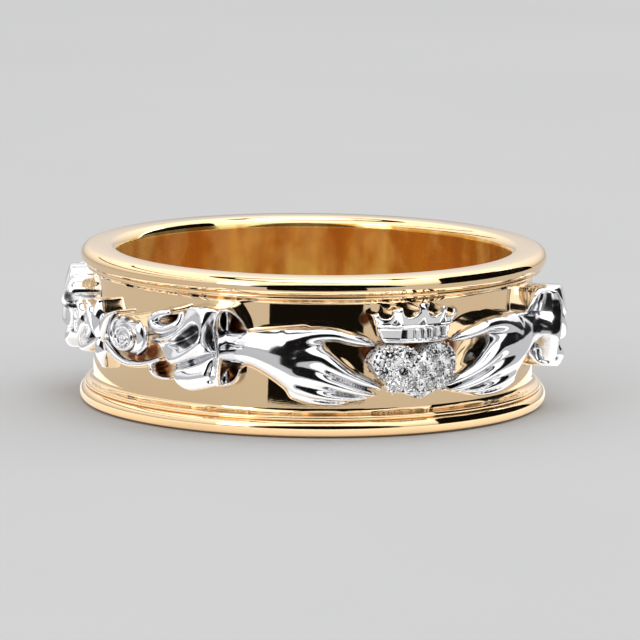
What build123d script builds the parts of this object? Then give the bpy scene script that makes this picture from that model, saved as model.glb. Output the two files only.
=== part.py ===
"""Claddagh ring in two colours of gold, lying on one rim with its finger hole upright.

A yellow gold band with a rounded rim along each edge carries white gold relief in the
recessed field between the rims. The same relief stands at the front and at the back of the
band: a crowned heart set with small stones, held by two hands whose sleeves end in curled
cuffs. Scrolls and a leaf fan fill each side, between one motif and the next.

The bore's axis is +Z, the band rests on z = 0 and the front heart faces -Y.
All sizes are in millimetres and all angles are in degrees.
"""
from build123d import *

import os
from collections import namedtuple
from math import atan2, cos, radians, sin, sqrt

os.makedirs("parts", exist_ok=True)

# Band
finger_bore = 17.3          # inside diameter, a US size 7
band_width = 6.9            # from edge to edge, along the finger
field_wall = 1.05           # from the bore out to the recessed field that carries the relief
rim_stand = 0.6             # the rounded rims over the field
rim_turn = 0.35             # from the rim's outside in to where the flat edge begins
rim_bead_height = 0.72      # the rim's main bead, along the finger
rim_bead_middle = 0.44      # where that bead is widest, from the band's edge
rim_step = 0.16             # how far the main bead stands over its foot
thread_stand = 0.38         # the fine thread beside the main bead, over the field
thread_height = 0.24        # the fine thread, along the finger
cove_height = 0.26          # the hollow curve from the thread down to the field
bore_easing = 0.34          # radius of the rounded inner edge

# Relief
relief_height = 1.55        # the highest relief over the field
solder_gap = 0.02           # between the relief and the band
joint_gap = 0.03            # between neighbouring pieces of relief
root_depth = 0.35           # how far a form is modelled below the field before it is trimmed
shoulder_by_width = 0.90    # drop from a form's crest to its shoulder, over its half width
shoulder_by_rise = 0.65     # the most that this drop may be, over the crest's rise

# Heart
heart_width = 4.15
heart_height = 2.37         # from its tip to the top of its lobes
heart_drop = 0.585          # the heart's middle below the band's middle
heart_crest = 1.22          # the middle of the dome over the field
heart_dome_radius = 3.2

# Stones
stone_diameter = 0.68
tip_stone_diameter = 0.42
stone_sides = 8
table_share = 0.56          # a table's width over its stone's width
crown_share = 0.17          # a stone's crown height over its width
girdle_share = 0.03
pavilion_share = 0.43
seat_gap = 0.02             # between a stone and its seat
table_rise = 0.06           # how far a table stands over the dome

# Crown
crown_crest = 1.15          # the crown's front over the field
crown_bow_radius = 2.45     # the curve of the crown's front, seen from above
crown_gap = 0.08            # from the heart's lobes up to the crown's foot
crown_foot_width = 3.0
crown_top_width = 4.1       # over the outer points
crown_height = 1.87         # from the foot to the middle point
crown_band_height = 0.70    # the band between the foot and the points
crown_panel_depth = 0.12    # how deep the band's panels are sunk
moulding_height = 0.13      # the two mouldings that frame the panels

# Scrolls: what lies up and down in the field is a share of field_height, as in a Station
volute_turn = 78.5          # the volute's middle, from the front heart
volute_level = 0.545
volute_reach = 0.180        # radius of the outermost turn's middle line
volute_ridge = 0.061        # thickness of the coiled ridge
volute_pitch = 0.067        # from one turn to the next
volute_rise = 0.62          # the ridge's middle line over the field, in millimetres
volute_half_turns = 5
volute_start = 50           # where the outer turn begins, counted from the viewer's right
curl_turn = 66.4            # the small curl's middle, from the front heart
curl_level = 0.305
curl_width = 3.4            # of its middle line, in degrees round the band
curl_height = 0.125
curl_start = 70             # where the curl begins, counted from greater turns
curl_sweep = 240
curl_steps = 7

# Side leaves
side_turn = 90              # the middle of the fan, between the two motifs

# Worked out from the sizes above
bore_radius = finger_bore / 2
field_radius = bore_radius + field_wall
rim_radius = field_radius + rim_stand
rim_diameter = 2 * rim_radius
thread_radius = field_radius + thread_stand
thread_foot = thread_radius - thread_height / 2
rim_height = rim_bead_height + thread_height + cove_height
field_height = band_width - 2 * rim_height
band_middle = band_width / 2
heart_tip_level = band_middle - heart_drop - heart_height / 2
crown_foot_level = heart_tip_level + heart_height + crown_gap

# One place along a raised form. Turn is the angle from the middle of the front heart towards
# the left side; level is the height in the field as a share of field_height; half_width is a
# share of field_height too; rise is the crest over the field as a share of relief_height.
Station = namedtuple("Station", "turn level half_width rise")


def field_level(level):
    """Height over the band's edge of a level in the field."""
    return rim_height + level * field_height


def outward(turn):
    """Direction from the ring's axis through a turn, counted from the front to the left."""
    return Vector(-sin(radians(turn)), -cos(radians(turn)), 0)


def around(turn):
    """Direction along the band at a turn, towards greater turns."""
    return Vector(-cos(radians(turn)), sin(radians(turn)), 0)


def place(turn, height, radius):
    """The point of a turn, a height over the band's edge and a distance from the axis."""
    return outward(turn) * radius + Vector(0, 0, height)


def front_plane(height=0):
    """A plane through the axis, seen from the front: x to the right, y up, z towards the front."""
    return Plane((0, 0, height), x_dir=(1, 0, 0), z_dir=(0, -1, 0))


def heading(stations, index):
    """Slope of a form's path at a station, from the stations beside it."""
    before = stations[max(index - 1, 0)]
    after = stations[min(index + 1, len(stations) - 1)]
    along = radians(after.turn - before.turn) * field_radius
    up = (after.level - before.level) * field_height
    return atan2(up, along)


def section(station, slope, grow=0.0):
    """The round-topped outline of a raised form, square to its path."""
    tangent = around(station.turn) * cos(slope) + Vector(0, 0, sin(slope))
    origin = place(station.turn, field_level(station.level), field_radius)
    half_width = station.half_width * field_height + grow
    crest = station.rise * relief_height + grow
    shoulder = crest - min(half_width * shoulder_by_width, crest * shoulder_by_rise)
    with BuildSketch(Plane(origin, x_dir=outward(station.turn), z_dir=tangent)) as outline:
        with BuildLine():
            Line((-root_depth, -half_width), (shoulder, -half_width))
            ThreePointArc((shoulder, -half_width), (crest, 0), (shoulder, half_width))
            Line((shoulder, half_width), (-root_depth, half_width))
            Line((-root_depth, half_width), (-root_depth, -half_width))
        make_face()
    return outline.sketch


def raise_form(stations, upright=False, grow=0.0, mode=Mode.ADD):
    """Adds a smooth form to the open part: upright sections face straight along the band."""
    outlines = []
    for index, station in enumerate(stations):
        slope = 0.0 if upright else heading(stations, index)
        outlines.append(section(station, slope, grow))
    loft(outlines, mode=mode)


# The band: one turned piece of yellow gold. Half of its outline is drawn and mirrored.
with BuildPart() as band:
    with BuildSketch(front_plane(band_middle)) as band_profile:
        with BuildLine():
            edge = -band_middle
            bead_top = edge + rim_bead_height
            thread_top = bead_top + thread_height
            cove_top = thread_top + cove_height
            Line((bore_radius, 0), (bore_radius, edge + bore_easing))
            RadiusArc(
                (bore_radius, edge + bore_easing), (bore_radius + bore_easing, edge), -bore_easing
            )
            Line((bore_radius + bore_easing, edge), (rim_radius - rim_turn, edge))
            ThreePointArc(
                (rim_radius - rim_turn, edge),
                (rim_radius, edge + rim_bead_middle),
                (rim_radius - rim_step, bead_top),
            )
            Line((rim_radius - rim_step, bead_top), (thread_foot, bead_top))
            ThreePointArc(
                (thread_foot, bead_top),
                (thread_radius, bead_top + thread_height / 2),
                (thread_foot, thread_top),
            )
            TangentArc((thread_foot, thread_top), (field_radius, cove_top), tangent=(-1, 0))
            Line((field_radius, cove_top), (field_radius, 0))
            mirror(about=Plane.XZ)
        make_face()
    revolve(axis=Axis.Z)
band.part.label = "band"
export_step(band.part, "parts/band.step")

# The cutter that seats the relief: everything the band fills, and the finger hole, grown by
# the solder gap.
with BuildPart() as seat:
    with BuildSketch(front_plane(band_middle)):
        add(band_profile.sketch_local)
        offset(amount=solder_gap)
    revolve(axis=Axis.Z)
    with Locations((0, 0, band_middle)):
        Cylinder(field_radius, band_width + 2 * solder_gap)


def keep(piece, name):
    """Labels a finished piece and writes its file."""
    piece.part.label = name
    export_step(piece.part, f"parts/{name}.step")


def repeat(piece, name):
    """Writes a front piece that lies on the middle line, and its twin at the back."""
    for face, spin in (("front", 0), ("back", 180)):
        with BuildPart() as copy:
            add(piece.part, rotation=(0, 0, spin))
        keep(copy, f"{face}_{name}")


def repeat_in_pairs(piece, name):
    """Writes a front left piece, its mirror image on the right, and both again at the back."""
    for face, spin in (("front", 0), ("back", 180)):
        with BuildPart() as left_copy:
            add(piece.part, rotation=(0, 0, spin))
        keep(left_copy, f"{face}_left_{name}")
        with BuildPart() as right_copy:
            mirror(left_copy.part, about=Plane.YZ)
        keep(right_copy, f"{face}_right_{name}")


# Hands: a wrist and palm, a thumb along the top and four fingers laid side by side.
palm = [
    Station(50.6, 0.595, 0.165, 0.44),
    Station(45.5, 0.580, 0.170, 0.52),
    Station(40.5, 0.588, 0.195, 0.62),
    Station(35.5, 0.551, 0.267, 0.72),
    Station(30.5, 0.489, 0.352, 0.78),
    Station(25.5, 0.450, 0.385, 0.76),
    Station(22.5, 0.360, 0.300, 0.64),
    Station(20.0, 0.300, 0.245, 0.45),
]
thumb = [
    Station(33.0, 0.690, 0.120, 0.62),
    Station(27.0, 0.755, 0.090, 0.70),
    Station(21.0, 0.748, 0.082, 0.68),
    Station(16.0, 0.705, 0.072, 0.60),
    Station(12.5, 0.665, 0.052, 0.50),
    Station(10.3, 0.640, 0.022, 0.36),
]
fingers = {
    "index": [
        Station(27.0, 0.570, 0.110, 0.70),
        Station(23.5, 0.510, 0.105, 0.78),
        Station(20.5, 0.435, 0.078, 0.76),
        Station(17.5, 0.365, 0.064, 0.70),
        Station(14.0, 0.290, 0.055, 0.62),
        Station(11.0, 0.240, 0.048, 0.54),
        Station(8.9, 0.210, 0.022, 0.38),
    ],
    "middle": [
        Station(27.0, 0.370, 0.090, 0.74),
        Station(22.5, 0.300, 0.076, 0.74),
        Station(18.5, 0.250, 0.062, 0.66),
        Station(14.5, 0.195, 0.052, 0.56),
        Station(11.8, 0.160, 0.042, 0.48),
        Station(10.0, 0.140, 0.020, 0.34),
    ],
    "ring": [
        Station(28.0, 0.225, 0.070, 0.66),
        Station(24.0, 0.175, 0.062, 0.64),
        Station(20.0, 0.140, 0.052, 0.56),
        Station(16.0, 0.108, 0.042, 0.48),
        Station(13.4, 0.090, 0.032, 0.42),
        Station(11.8, 0.082, 0.016, 0.30),
    ],
    "little": [
        Station(30.0, 0.150, 0.062, 0.56),
        Station(26.0, 0.098, 0.054, 0.52),
        Station(22.0, 0.065, 0.042, 0.44),
        Station(19.0, 0.052, 0.030, 0.36),
        Station(17.0, 0.050, 0.014, 0.26),
    ],
}
with BuildPart() as hand:
    raise_form(palm, upright=True)
    raise_form(thumb)
    for finger in fingers.values():
        raise_form(finger)
    add(seat.part, mode=Mode.SUBTRACT)
repeat_in_pairs(hand, "hand")

# Cuffs: a bell of cloth that opens towards the hand, with two soft folds, a rolled end away
# from the hand and a lip above and below the wrist.
bell = [
    Station(49.6, 0.586, 0.377, 0.97),
    Station(52.0, 0.580, 0.405, 1.00),
    Station(55.0, 0.568, 0.410, 0.97),
    Station(57.5, 0.560, 0.375, 0.90),
    Station(60.0, 0.600, 0.275, 0.80),
    Station(63.0, 0.640, 0.200, 0.72),
    Station(66.0, 0.680, 0.130, 0.60),
    Station(68.5, 0.690, 0.065, 0.42),
]
cuff_folds = [
    [
        Station(60.5, 0.350, 0.050, 0.70),
        Station(57.5, 0.390, 0.060, 0.98),
        Station(54.5, 0.470, 0.060, 1.05),
        Station(51.5, 0.550, 0.050, 1.06),
        Station(49.8, 0.600, 0.030, 0.98),
    ],
    [
        Station(58.5, 0.250, 0.050, 0.62),
        Station(55.5, 0.240, 0.060, 0.88),
        Station(52.5, 0.280, 0.060, 0.96),
        Station(50.0, 0.340, 0.040, 0.96),
    ],
]
cuff_roll = [
    Station(57.5, 0.800, 0.050, 0.86),
    Station(60.0, 0.870, 0.050, 0.84),
    Station(63.0, 0.893, 0.050, 0.80),
    Station(66.0, 0.860, 0.050, 0.74),
    Station(68.0, 0.790, 0.050, 0.68),
    Station(68.6, 0.705, 0.048, 0.62),
    Station(67.2, 0.635, 0.045, 0.62),
]
cuff_lips = [
    [
        Station(50.5, 0.930, 0.034, 0.72),
        Station(47.5, 0.942, 0.030, 0.58),
        Station(45.2, 0.910, 0.030, 0.50),
        Station(43.6, 0.850, 0.028, 0.44),
        Station(42.8, 0.780, 0.024, 0.36),
    ],
    [
        Station(50.5, 0.222, 0.034, 0.72),
        Station(47.5, 0.215, 0.030, 0.58),
        Station(45.2, 0.240, 0.030, 0.50),
        Station(43.6, 0.290, 0.028, 0.44),
        Station(42.8, 0.370, 0.024, 0.36),
    ],
]
with BuildPart() as cuff:
    raise_form(bell, upright=True)
    for fold in cuff_folds:
        raise_form(fold)
    raise_form(cuff_roll)
    for lip in cuff_lips:
        raise_form(lip)
    raise_form(palm, upright=True, grow=joint_gap, mode=Mode.SUBTRACT)
    add(seat.part, mode=Mode.SUBTRACT)
repeat_in_pairs(cuff, "cuff")

# Scrolls: a coiled volute, and a stem that runs below it from the side leaf to a small curl
# beside the cuff.
stem = [
    Station(87.0, 0.450, 0.040, 0.34),
    Station(84.5, 0.420, 0.042, 0.38),
    Station(81.0, 0.362, 0.046, 0.40),
    Station(77.0, 0.318, 0.046, 0.40),
    Station(73.0, 0.318, 0.044, 0.40),
    Station(69.5, 0.355, 0.038, 0.38),
    Station(66.8, 0.395, 0.030, 0.34),
]
curl_section = Station(curl_turn, curl_level, 0.028, 0.38)
curl = []
for step in range(curl_steps):
    angle = radians(curl_start + curl_sweep * step / (curl_steps - 1))
    curl.append(
        curl_section._replace(
            turn=curl_turn + curl_width / 2 * cos(angle),
            level=curl_level + curl_height / 2 * sin(angle),
        )
    )
volute_radius = volute_reach * field_height
half_turn_shift = volute_pitch * field_height / 2
volute_plane = Plane(
    place(volute_turn, field_level(volute_level), field_radius + volute_rise),
    x_dir=-around(volute_turn),
    z_dir=outward(volute_turn),
)
with BuildPart() as scroll:
    raise_form(stem)
    raise_form(curl)
    with BuildSketch(volute_plane.offset(-volute_rise - root_depth)):
        Circle(volute_radius + volute_ridge * field_height / 2)
    extrude(amount=volute_rise + root_depth)
    with BuildLine(volute_plane) as coil:
        for half_turn in range(volute_half_turns):
            start_angle = volute_start + 180 * half_turn
            shift = half_turn_shift * (half_turn % 2)
            middle = (
                -shift * cos(radians(volute_start)),
                -shift * sin(radians(volute_start)),
            )
            CenterArc(middle, volute_radius - half_turn * half_turn_shift, start_angle, 180)
    with BuildSketch(Plane(coil.line @ 0, z_dir=coil.line % 0)):
        Circle(volute_ridge * field_height / 2)
    sweep(path=coil.line)
    add(seat.part, mode=Mode.SUBTRACT)
repeat_in_pairs(scroll, "scroll")

# Side leaves: a fan of three leaves over a bud, between the scrolls of the two motifs.
leaf_fan = {
    "middle_leaf": [
        Station(side_turn, 0.470, 0.050, 0.46),
        Station(side_turn, 0.600, 0.075, 0.52),
        Station(side_turn, 0.740, 0.085, 0.50),
        Station(side_turn, 0.860, 0.035, 0.32),
    ],
    "bud": [
        Station(side_turn, 0.480, 0.060, 0.46),
        Station(side_turn, 0.380, 0.075, 0.48),
        Station(side_turn, 0.280, 0.070, 0.40),
        Station(side_turn, 0.200, 0.030, 0.26),
    ],
}
leaf_sides = [
    Station(1.2, 0.480, 0.040, 0.42),
    Station(2.8, 0.590, 0.060, 0.48),
    Station(4.2, 0.700, 0.065, 0.46),
    Station(5.6, 0.800, 0.030, 0.32),
]
with BuildPart() as leaves:
    for form in leaf_fan.values():
        raise_form(form)
    for side in (-1, 1):
        raise_form([place_in_fan._replace(turn=side_turn + side * place_in_fan.turn)
                    for place_in_fan in leaf_sides])
    add(seat.part, mode=Mode.SUBTRACT)
keep(leaves, "left_leaves")
with BuildPart() as right_leaves:
    mirror(leaves.part, about=Plane.YZ)
keep(right_leaves, "right_leaves")

# Crown: a bowed band with sunk panels under five points, scalloped between the points.
# Across and radius are shares of crown_top_width, up is a share of crown_height.
CrownPoint = namedtuple("CrownPoint", "across up")
Scallop = namedtuple("Scallop", "across up radius")
crown_points = [
    CrownPoint(0.500, 0.66),
    CrownPoint(0.258, 0.83),
    CrownPoint(0.000, 1.00),
]
scallops = [
    Scallop(0.372, 0.70, 0.062),
    Scallop(0.138, 0.80, 0.090),
]
panel_bars = (-0.36, -0.06, 0.14, 0.36)     # shares of crown_foot_width from the middle line
bow_middle = (0, crown_bow_radius - crown_crest - field_radius, band_middle)
with BuildSketch(front_plane(crown_foot_level)) as crown_outline:
    with BuildLine():
        Polyline(
            (0, 0),
            (crown_foot_width / 2, 0),
            *[(crown_top_width * tip.across, crown_height * tip.up) for tip in crown_points],
        )
        mirror(about=Plane.YZ)
    make_face()
    for scallop in scallops:
        across = crown_top_width * scallop.across
        up = crown_height * scallop.up
        with Locations((across, up), (-across, up)):
            Circle(crown_top_width * scallop.radius, mode=Mode.SUBTRACT)
with BuildSketch(front_plane(crown_foot_level)) as crown_frame_outline:
    for up in (moulding_height / 2, crown_band_height - moulding_height / 2):
        with Locations((0, up)):
            Rectangle(crown_top_width, moulding_height)
    for share in panel_bars:
        with Locations((crown_foot_width * share, crown_band_height / 2)):
            Rectangle(moulding_height, crown_band_height)
    add(crown_outline.sketch_local, mode=Mode.INTERSECT)
with BuildPart() as crown_frame:
    with BuildSketch(front_plane(crown_foot_level)):
        add(crown_frame_outline.sketch_local)
    extrude(amount=rim_diameter)
    with Locations(bow_middle):
        Cylinder(crown_bow_radius, 2 * band_width, mode=Mode.INTERSECT)
with BuildPart() as crown:
    with BuildSketch(front_plane(crown_foot_level)):
        add(crown_outline.sketch_local)
    extrude(amount=rim_diameter)
    with Locations(bow_middle):
        Cylinder(crown_bow_radius - crown_panel_depth, 2 * band_width, mode=Mode.INTERSECT)
    add(crown_frame.part)
    add(seat.part, mode=Mode.SUBTRACT)
repeat(crown, "crown")

# Heart: a domed plate with a drilled seat for each stone. Across is the distance from the
# middle line as a share of heart_width, up is the height as a share of heart_height.
HeartPoint = namedtuple("HeartPoint", "across up")
SeatPlace = namedtuple("SeatPlace", "across up diameter")
heart_side = [
    HeartPoint(0.000, 0.000),
    HeartPoint(0.285, 0.225),
    HeartPoint(0.500, 0.680),
    HeartPoint(0.270, 1.000),
    HeartPoint(0.000, 0.789),
]
one_side = [
    SeatPlace(0.145, 0.820, stone_diameter),
    SeatPlace(0.328, 0.835, stone_diameter),
    SeatPlace(0.207, 0.536, stone_diameter),
    SeatPlace(0.390, 0.536, stone_diameter),
    SeatPlace(0.106, 0.287, stone_diameter),
    SeatPlace(0.294, 0.270, stone_diameter),
]
on_the_middle = [
    SeatPlace(0.000, 0.536, stone_diameter),
    SeatPlace(0.000, 0.118, tip_stone_diameter),
]
seat_places = on_the_middle + one_side + [
    spot._replace(across=-spot.across) for spot in one_side
]
dome_middle = Vector(
    0,
    heart_dome_radius - heart_crest - field_radius,
    heart_tip_level + heart_height / 2,
)


def stone_plane(spot):
    """A plane at a stone's table, its x to the side and its z straight out of the dome."""
    across = spot.across * heart_width
    up = heart_tip_level + spot.up * heart_height - dome_middle.Z
    out = -sqrt(heart_dome_radius**2 - across**2 - up**2)
    normal = Vector(across, out, up).normalized()
    table = dome_middle + normal * (heart_dome_radius + table_rise)
    return Plane(table, x_dir=Vector(0, 0, 1).cross(normal), z_dir=normal)


with BuildPart() as heart:
    with BuildSketch(front_plane(heart_tip_level)):
        with BuildLine():
            tip, flank, widest, lobe, notch = [
                (heart_width * corner.across, heart_height * corner.up) for corner in heart_side
            ]
            ThreePointArc(tip, flank, widest)
            ThreePointArc(widest, lobe, notch)
            mirror(about=Plane.YZ)
        make_face()
    extrude(amount=rim_diameter)
    with Locations(dome_middle):
        Sphere(heart_dome_radius, mode=Mode.INTERSECT)
    for spot in seat_places:
        seat_radius = spot.diameter / 2 + seat_gap
        girdle_depth = spot.diameter * (crown_share + girdle_share)
        with BuildSketch(stone_plane(spot)):
            Circle(seat_radius)
        extrude(amount=-girdle_depth, mode=Mode.SUBTRACT)
        with Locations(stone_plane(spot).offset(-girdle_depth)):
            Cone(
                seat_gap,
                seat_radius,
                spot.diameter * pavilion_share + seat_gap,
                align=(Align.CENTER, Align.CENTER, Align.MAX),
                mode=Mode.SUBTRACT,
            )
    add(seat.part, mode=Mode.SUBTRACT)
repeat(heart, "heart")

# Stones: eight-sided brilliants, each with a table, eight crown facets, a girdle and eight
# pavilion facets down to a small culet. Each is cut lying on the plane of its table.
for number, spot in enumerate(seat_places, start=1):
    table = stone_plane(spot)
    girdle_top = table.offset(-spot.diameter * crown_share)
    girdle_foot = girdle_top.offset(-spot.diameter * girdle_share)
    culet = girdle_foot.offset(-spot.diameter * pavilion_share)
    with BuildPart() as stone:
        with BuildSketch(table):
            RegularPolygon(spot.diameter / 2 * table_share, stone_sides)
        with BuildSketch(girdle_top):
            RegularPolygon(spot.diameter / 2, stone_sides)
        loft(ruled=True)
        with BuildSketch(girdle_top):
            RegularPolygon(spot.diameter / 2, stone_sides)
        extrude(amount=-spot.diameter * girdle_share)
        with BuildSketch(girdle_foot):
            RegularPolygon(spot.diameter / 2, stone_sides)
        with BuildSketch(culet):
            RegularPolygon(seat_gap, stone_sides)
        loft(ruled=True)
    repeat(stone, f"stone_{number:02d}")
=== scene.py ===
from collections import namedtuple
from math import atan2, cos, hypot, pi, radians, sin

import bmesh
import bpy
import numpy as np
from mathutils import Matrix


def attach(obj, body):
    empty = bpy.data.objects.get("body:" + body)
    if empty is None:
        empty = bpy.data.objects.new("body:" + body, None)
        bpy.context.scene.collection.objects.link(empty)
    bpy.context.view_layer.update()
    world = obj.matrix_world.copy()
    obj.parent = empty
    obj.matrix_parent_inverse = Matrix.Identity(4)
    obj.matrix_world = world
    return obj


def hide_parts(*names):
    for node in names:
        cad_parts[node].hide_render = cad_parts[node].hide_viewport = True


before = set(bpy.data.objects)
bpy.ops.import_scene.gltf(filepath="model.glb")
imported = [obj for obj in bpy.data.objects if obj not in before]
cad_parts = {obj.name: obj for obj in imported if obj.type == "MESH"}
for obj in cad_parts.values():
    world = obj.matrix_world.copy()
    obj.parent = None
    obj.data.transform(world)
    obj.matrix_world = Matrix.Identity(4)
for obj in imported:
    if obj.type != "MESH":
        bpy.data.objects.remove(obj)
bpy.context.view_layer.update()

import openvdb
from mathutils import Matrix, Vector


# Band: one ring of yellow gold, turned on a lathe, with a rounded rim, a fine thread and a cove
# along each edge. It is polished like a mirror and softer in the bore, where the finger wears
# it. The bore's colour holds painted shade and painted reflection streaks, and painted shade
# darkens the pockets round the relief.
class Value:
    """A socket of a finish, with the maths that the finishes use."""

    def __init__(self, finish, socket):
        self.finish = finish
        self.socket = socket

    def maths(self, operation, *others):
        return self.finish.node("ShaderNodeMath", {"operation": operation}, (self, *others))

    def __add__(self, other):
        return self.maths("ADD", other)

    def __sub__(self, other):
        return self.maths("SUBTRACT", other)

    def __rsub__(self, other):
        return (self * -1) + other

    def __mul__(self, other):
        return self.maths("MULTIPLY", other)

    __radd__ = __add__
    __rmul__ = __mul__


class Finish:
    """The nodes of one material, or of the room's light, put together one by one."""

    def __init__(self, owner):
        owner.use_nodes = True
        self.owner = owner
        self.tree = owner.node_tree
        self.tree.nodes.clear()

    def node(self, kind, settings=None, sockets=(), output=0):
        """Adds a node: its settings first, then a value or a link for each socket."""
        made = self.tree.nodes.new(kind)
        for key, setting in (settings or {}).items():
            if key == "stops":
                ramp = made.color_ramp.elements
                while len(ramp) < len(setting):
                    ramp.new(0.5)
                for element, (position, colour) in zip(ramp, setting):
                    element.position = position
                    element.color = colour
            else:
                setattr(made, key, setting)
        named = sockets.items() if isinstance(sockets, dict) else enumerate(sockets)
        for key, value in named:
            if isinstance(value, Value):
                self.tree.links.new(value.socket, made.inputs[key])
            else:
                made.inputs[key].default_value = value
        return Value(self, made.outputs[output]) if len(made.outputs) else None

    def place(self):
        """The point on the piece, in metres."""
        return self.node("ShaderNodeTexCoord", output="Object")

    def stretched(self, place, scale):
        """A place drawn out along the axes, for a grain that runs one way."""
        return self.node("ShaderNodeMapping", {}, {"Vector": place, "Scale": scale})

    def noise(self, place, scale, detail=2.0):
        """Even noise from 0 to 1, at a number of lumps to the metre."""
        sockets = {"Vector": place, "Scale": scale, "Detail": detail}
        return self.node("ShaderNodeTexNoise", {}, sockets)

    def mix(self, share, first, second):
        """A colour between two others."""
        return self.node(
            "ShaderNodeMix", {"data_type": "RGBA"}, {0: share, 6: first, 7: second}, output=2
        )

    def bump(self, height, distance):
        """A normal from a height, with how far the height stands in metres."""
        return self.node("ShaderNodeBump", {}, {"Distance": distance, "Height": height})

    def close(self, surface):
        """Joins the surface to the material's output."""
        self.node("ShaderNodeOutputMaterial", {}, {"Surface": surface})
        return self.owner


wear_fineness = 14
wear_run = (1, 1, 9)
wear_depth = 0.0000004
streak_run, streak_fineness = (1, 1, 0.12), 2.2
blot_run, blot_fineness = (1, 1, 0.7), 5
bore_shading = 0.15
painted_shade_steepness, recess_dullness = 2.2, 0.16
pit_depth = 0.00006


def gold_finish(
    name, colour, deep_colour, roughness, wear_scale, bore=None, pits=None, painted_shade_spots=None
):
    """Polished gold: a colour that deepens a little in places, and fine wear in the polish.

    A bore is given as its radius, its two colours, a deep painted shade and a bright colour for
    painted reflection streaks, and how much rougher its finish is. Pits are the gaps of grain
    setting, painted dark as shade: their scale, share of the surface and painted shade colour.
    Painted shade spots darken hollows round the relief, and on white gold they also paint dark
    reflections: their colour, then the turn, level, radius and size in millimetres of each;
    they are alike at the four places of the band.
    """
    finish = Finish(bpy.data.materials.new(name))
    place = finish.place()
    metal = 1.0
    clouds = finish.noise(place, wear_scale)
    wear = finish.noise(finish.stretched(place, wear_run), wear_scale * wear_fineness, 4.0)
    shade = finish.mix(clouds, deep_colour, colour)
    gloss = wear * (roughness * 0.5) + roughness * 0.75
    x, y, z = (finish.node("ShaderNodeSeparateXYZ", {}, [place], output=axis) for axis in range(3))
    # Inside the bore the colour is painted: a deeper shade with painted reflection streaks.
    if bore:
        radius, bore_shade_colour, streak_reflection_colour, softness = bore
        inside = (x * x + y * y).maths("LESS_THAN", radius**2)
        long_way = finish.stretched(place, streak_run)
        streaks = finish.noise(long_way, wear_scale * streak_fineness, 3.0)
        blots = finish.noise(finish.stretched(place, blot_run), wear_scale * blot_fineness)
        reflection_streaks = finish.node("ShaderNodeClamp", {}, [(streaks * 0.7 + blots * 0.3 - 0.42) * 6.5])
        shade = finish.mix(inside, shade, finish.mix(reflection_streaks, bore_shade_colour, streak_reflection_colour))
        gloss = gloss + inside * softness
        metal = inside * -bore_shading + 1
    # Painted shade: the colour darkens round given spots, alike in the four quarters of the band.
    if painted_shade_spots:
        painted_shade_colour, spots = painted_shade_spots
        quarter = [x.maths("ABSOLUTE"), y.maths("ABSOLUTE"), z]
        quarter = finish.node("ShaderNodeCombineXYZ", {}, quarter)
        measure = {"operation": "DISTANCE"}
        sunk = clouds * 0
        for turn, level, radius, size in spots:
            spot = Vector((radius * sin(radians(turn)), radius * cos(radians(turn)), level)) / 1000
            away = finish.node("ShaderNodeVectorMath", measure, [quarter, spot], output=1)
            nearness = away * (-painted_shade_steepness * 1000 / size) + painted_shade_steepness
            sunk = sunk.maths("MAXIMUM", nearness)
        sunk = finish.node("ShaderNodeClamp", {}, [sunk - clouds * 0.4])
        shade = finish.mix(sunk, shade, painted_shade_colour)
        gloss = gloss + sunk * recess_dullness
    relief = finish.bump(wear, wear_depth)
    # The pits' near-black colour is painted shade between the grains.
    if pits:
        pit_scale, pit_share, pit_shade_colour = pits
        gaps = finish.noise(place, pit_scale, 1.0)
        sunk = finish.node("ShaderNodeClamp", {}, [(pit_share - gaps) * 20])
        shade = finish.mix(sunk, shade, pit_shade_colour)
        metal = sunk * 0.75 + 0.25
        relief = finish.bump(gaps, pit_depth)
    sockets = {"Base Color": shade, "Metallic": metal, "Roughness": gloss, "Normal": relief}
    return finish.close(finish.node("ShaderNodeBsdfPrincipled", {}, sockets))


yellow_gold = gold_finish(
    "yellow_gold_polish", colour=(0.94, 0.70, 0.43, 1), deep_colour=(0.93, 0.67, 0.39, 1),
    roughness=0.03, wear_scale=260,
    # The bore's two colours are painted shade and painted reflection streaks.
    bore=(0.00869, (0.74, 0.36, 0.07, 1), (1.0, 0.74, 0.27, 1), 0.08),
    # Painted shade: a dark reddish colour in the pockets of the field between the relief.
    painted_shade_spots=(
        (0.19, 0.055, 0.016, 1),
        [
            (79.5, 2.93, 9.7, 0.46), (75.5, 3.00, 9.7, 0.60), (71.5, 3.25, 9.7, 0.78),
            (67.0, 2.50, 9.7, 0.62), (64.0, 4.60, 9.9, 0.80), (49.5, 4.75, 9.8, 0.70),
            (45.7, 4.83, 9.8, 0.72), (48.3, 2.48, 9.8, 0.62), (45.5, 2.60, 9.8, 0.56),
            (0.0, 3.80, 9.7, 0.70), (4.0, 3.95, 9.7, 0.55), (11.4, 3.70, 9.7, 0.62),
            (19.5, 3.30, 9.7, 0.50), (6.6, 5.20, 9.7, 0.50), (0.0, 5.40, 9.7, 0.55),
            (12.4, 5.11, 9.7, 0.40),
        ],
    ),
)
metres = 0.001
band_width = 6.9
bore_radius, field_radius = 8.65, 9.70
easing_reach, easing_rise, easing_steps = 0.36, 0.50, 20
rim_start, rim_crest, rim_end = (9.95, 0), (10.30, 0.44), (10.14, 0.72)
thread_start, thread_crest, thread_end = (9.96, 0.72), (10.08, 0.84), (9.96, 0.96)
cove_hollow, cove_end = (9.776, 1.036), (field_radius, 1.22)
turning_steps = 360
crease = radians(40)


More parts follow.
